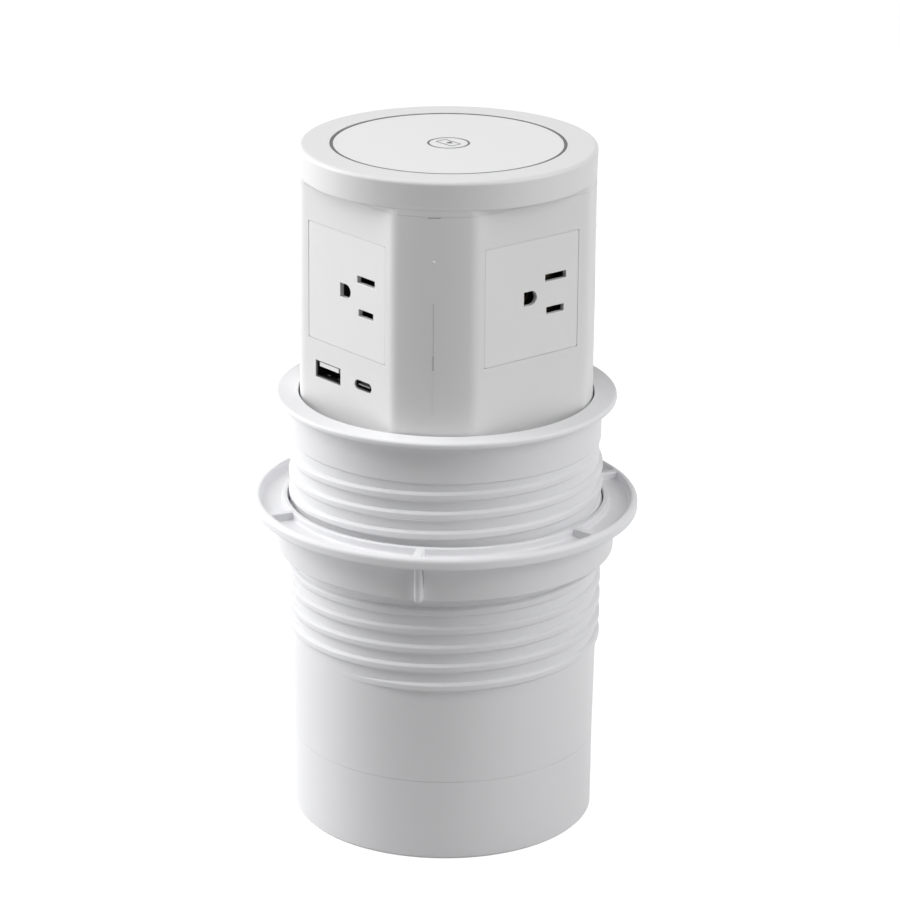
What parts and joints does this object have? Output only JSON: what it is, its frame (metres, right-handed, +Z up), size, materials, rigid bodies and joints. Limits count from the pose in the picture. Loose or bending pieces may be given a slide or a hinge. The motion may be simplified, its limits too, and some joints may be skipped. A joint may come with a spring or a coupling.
{
  "type": "pop up desk socket",
  "caption": "Raised pop up desk socket: round white tower with mains sockets and USB ports, charging pad on top, threaded barrel with collar and clamp nut.",
  "frame": {"origin": "centre of the flat underside of the base", "axes": "+Z up along the tower and the lift, -Y out of the face with the USB ports, +X out of the next socket face"},
  "size_m": [0.1476, 0.1476, 0.2665],
  "materials": {
    "white_shell": "fine satin moulded ABS, cool white",
    "white_module": "smooth semi-gloss polycarbonate, white",
    "white_pad": "smooth satin pad, white",
    "ring_grey": "dark grey trim",
    "inner_white": "plain moulding inside",
    "black_insulator": "black insulator",
    "rubber_grey": "soft rubber",
    "steel": "bright steel",
    "nickel": "bright plated shell",
    "zinc_screw": "zinc plated screws",
    "brass": "plain brass",
    "copper": "enamelled copper winding",
    "board_green": "green circuit board",
    "ferrite": "dark ferrite sheet"
  },
  "bodies": {
    "base": {"threaded_barrel": "white_shell", "bottom_cup": "white_shell", "cord_gland": "rubber_grey", "drive_plate": "inner_white", "plate_screws": "zinc_screw", "screw_bearing": "steel", "gearbox": "steel", "drive_motor": "steel", "guide_rod_right": "steel", "guide_rod_left": "steel", "control_board": "board_green", "terminal_block": "black_insulator"},
    "tower": {"tower_shell": "white_shell", "tower_base": "inner_white", "tower_base_screws": "zinc_screw", "drive_nut": "brass", "drive_nut_screws": "zinc_screw", "guide_bush_right": "brass", "guide_bush_left": "brass", "usb_a_shell": "nickel", "usb_a_tongue": "white_module", "usb_c_shell": "nickel", "usb_c_tongue": "black_insulator", "usb_board": "board_green", "power_board": "board_green", "top_cap": "white_shell", "cap_screws": "zinc_screw", "charging_pad": "white_pad", "pad_ring": "ring_grey", "charging_coil": "copper", "ferrite_disc": "ferrite", "charger_board": "board_green", "socket_face_front": "white_module", "socket_housing_front": "black_insulator", "socket_contacts_front": "brass", "socket_face_right": "white_module", "socket_housing_right": "black_insulator", "socket_contacts_right": "brass", "socket_face_back": "white_module", "socket_housing_back": "black_insulator", "socket_contacts_back": "brass", "socket_face_left": "white_module", "socket_housing_left": "black_insulator", "socket_contacts_left": "brass"},
    "screw": {"lead_screw": "steel"},
    "nut": {"clamp_nut": "white_shell"}
  },
  "joints": [
    {"name": "tower_lift", "type": "slide", "parent": "base", "child": "tower", "axis": [0, 0, 1], "range_m": [-0.0965, 0]},
    {"name": "lead_screw_spin", "type": "hinge", "parent": "base", "child": "screw", "pos_m": [0, 0, 0.06], "axis": [0, 0, 1], "range_deg": [-10, 8695]},
    {"name": "clamp_nut_travel", "type": "slide", "parent": "base", "child": "nut", "axis": [0, 0, 1], "range_m": [-0.036, 0.036]}
  ],
  "couplings": [
    {"joint": "lead_screw_spin", "follows": "tower_lift", "rad_per_m": -1570.8}
  ]
}
